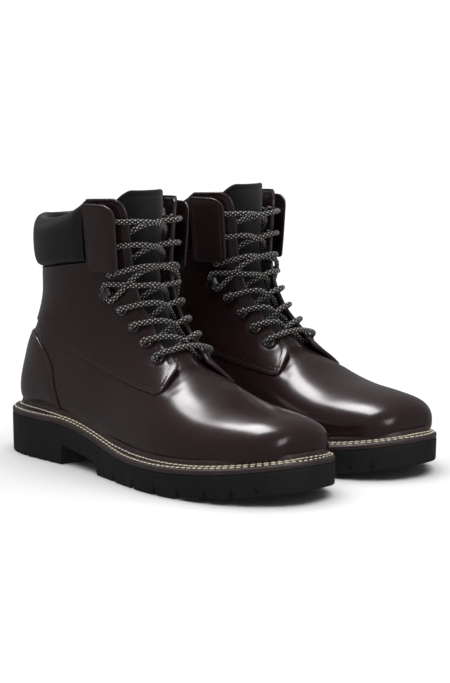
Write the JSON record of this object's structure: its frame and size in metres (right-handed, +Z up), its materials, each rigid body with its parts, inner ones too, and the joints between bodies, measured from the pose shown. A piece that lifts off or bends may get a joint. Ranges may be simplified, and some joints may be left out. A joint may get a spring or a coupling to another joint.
{
  "type": "insulated lace-up boots",
  "caption": "Pair of insulated ankle-high lace-up boots with a padded collar, hinged leather flaps over the top eyelets, a storm welt and a lugged rubber sole.",
  "frame": {"origin": "middle of the pair's bounding box, on the floor that the soles stand on", "axes": "-Y is the mean toe direction, +X runs from the right boot to the left boot, +Z is up"},
  "size_m": [0.2314, 0.3212, 0.1959],
  "materials": {
    "upper_leather": "smooth brushed oxblood leather, polished to a soft gloss",
    "collar_leather": "soft black leather, satin",
    "tongue_textile": "fine black weave",
    "rubber": "matte moulded rubber",
    "welt_leather": "dull brown-grey welt leather",
    "gunmetal": "dark polished gunmetal plating",
    "lace_cord": "round braid, dark with pale flecks",
    "insulation": "dense napped lining fabric",
    "fibre_board": "pressed fibre board",
    "cork": "granulated cork",
    "steel": "plain steel strip"
  },
  "bodies": {
    "root": {"outsole_right": "rubber", "welt_right": "welt_leather", "bottom_filler_right": "cork", "shank_right": "steel", "insole_board_right": "fibre_board", "footbed_right": "insulation", "vamp_right": "upper_leather", "counter_panel_right": "upper_leather", "quarter_lateral_right": "upper_leather", "quarter_medial_right": "upper_leather", "heel_stiffener_right": "fibre_board", "toe_puff_right": "fibre_board", "lining_right": "insulation", "collar_right": "collar_leather", "lace_right": "lace_cord", "hook_lateral_right": "gunmetal", "hook_medial_right": "gunmetal", "upper_eyelets_lateral_right": "gunmetal", "upper_eyelets_medial_right": "gunmetal", "eyelet_lateral_1_right": "gunmetal", "eyelet_lateral_2_right": "gunmetal", "eyelet_lateral_3_right": "gunmetal", "eyelet_lateral_4_right": "gunmetal", "eyelet_medial_1_right": "gunmetal", "eyelet_medial_2_right": "gunmetal", "eyelet_medial_3_right": "gunmetal", "eyelet_medial_4_right": "gunmetal", "outsole_left": "rubber", "welt_left": "welt_leather", "bottom_filler_left": "cork", "shank_left": "steel", "insole_board_left": "fibre_board", "footbed_left": "insulation", "vamp_left": "upper_leather", "counter_panel_left": "upper_leather", "quarter_lateral_left": "upper_leather", "quarter_medial_left": "upper_leather", "heel_stiffener_left": "fibre_board", "toe_puff_left": "fibre_board", "lining_left": "insulation", "collar_left": "collar_leather", "lace_left": "lace_cord", "hook_lateral_left": "gunmetal", "hook_medial_left": "gunmetal", "upper_eyelets_lateral_left": "gunmetal", "upper_eyelets_medial_left": "gunmetal", "eyelet_lateral_1_left": "gunmetal", "eyelet_lateral_2_left": "gunmetal", "eyelet_lateral_3_left": "gunmetal", "eyelet_lateral_4_left": "gunmetal", "eyelet_medial_1_left": "gunmetal", "eyelet_medial_2_left": "gunmetal", "eyelet_medial_3_left": "gunmetal", "eyelet_medial_4_left": "gunmetal"},
    "flap_lateral_left": {"flap_lateral_left": "upper_leather"},
    "flap_lateral_right": {"flap_lateral_right": "upper_leather"},
    "flap_medial_left": {"flap_medial_left": "upper_leather"},
    "flap_medial_right": {"flap_medial_right": "upper_leather"},
    "tongue_left": {"tongue_left": "tongue_textile"},
    "tongue_right": {"tongue_right": "tongue_textile"}
  },
  "joints": [
    {"name": "flap_lateral_right_hinge", "type": "hinge", "parent": "root", "child": "flap_lateral_right", "pos_m": [-0.09046, 0.03183, 0.16397], "axis": [0.0677, -0.0064, -0.9977], "range_deg": [0, 60], "stiffness_Nm_per_rad": 0.01},
    {"name": "flap_medial_right_hinge", "type": "hinge", "parent": "root", "child": "flap_medial_right", "pos_m": [-0.0174, 0.02851, 0.16397], "axis": [0.068, 0.0002, 0.9977], "range_deg": [0, 45], "stiffness_Nm_per_rad": 0.01},
    {"name": "tongue_right_tilt", "type": "hinge", "parent": "root", "child": "tongue_right", "pos_m": [-0.05651, -0.02665, 0.086], "axis": [-0.9988, 0.0499, 0], "range_deg": [0, 12], "stiffness_Nm_per_rad": 0.06, "springref_deg": -11.46},
    {"name": "flap_lateral_left_hinge", "type": "hinge", "parent": "root", "child": "flap_lateral_left", "pos_m": [0.09046, 0.04333, 0.16397], "axis": [0.0677, 0.0064, 0.9977], "range_deg": [0, 60], "stiffness_Nm_per_rad": 0.01},
    {"name": "flap_medial_left_hinge", "type": "hinge", "parent": "root", "child": "flap_medial_left", "pos_m": [0.0174, 0.04001, 0.16397], "axis": [0.068, -0.0002, -0.9977], "range_deg": [0, 45], "stiffness_Nm_per_rad": 0.01},
    {"name": "tongue_left_tilt", "type": "hinge", "parent": "root", "child": "tongue_left", "pos_m": [0.05651, -0.01515, 0.086], "axis": [-0.9988, -0.0499, 0], "range_deg": [0, 12], "stiffness_Nm_per_rad": 0.06, "springref_deg": -11.46}
  ]
}
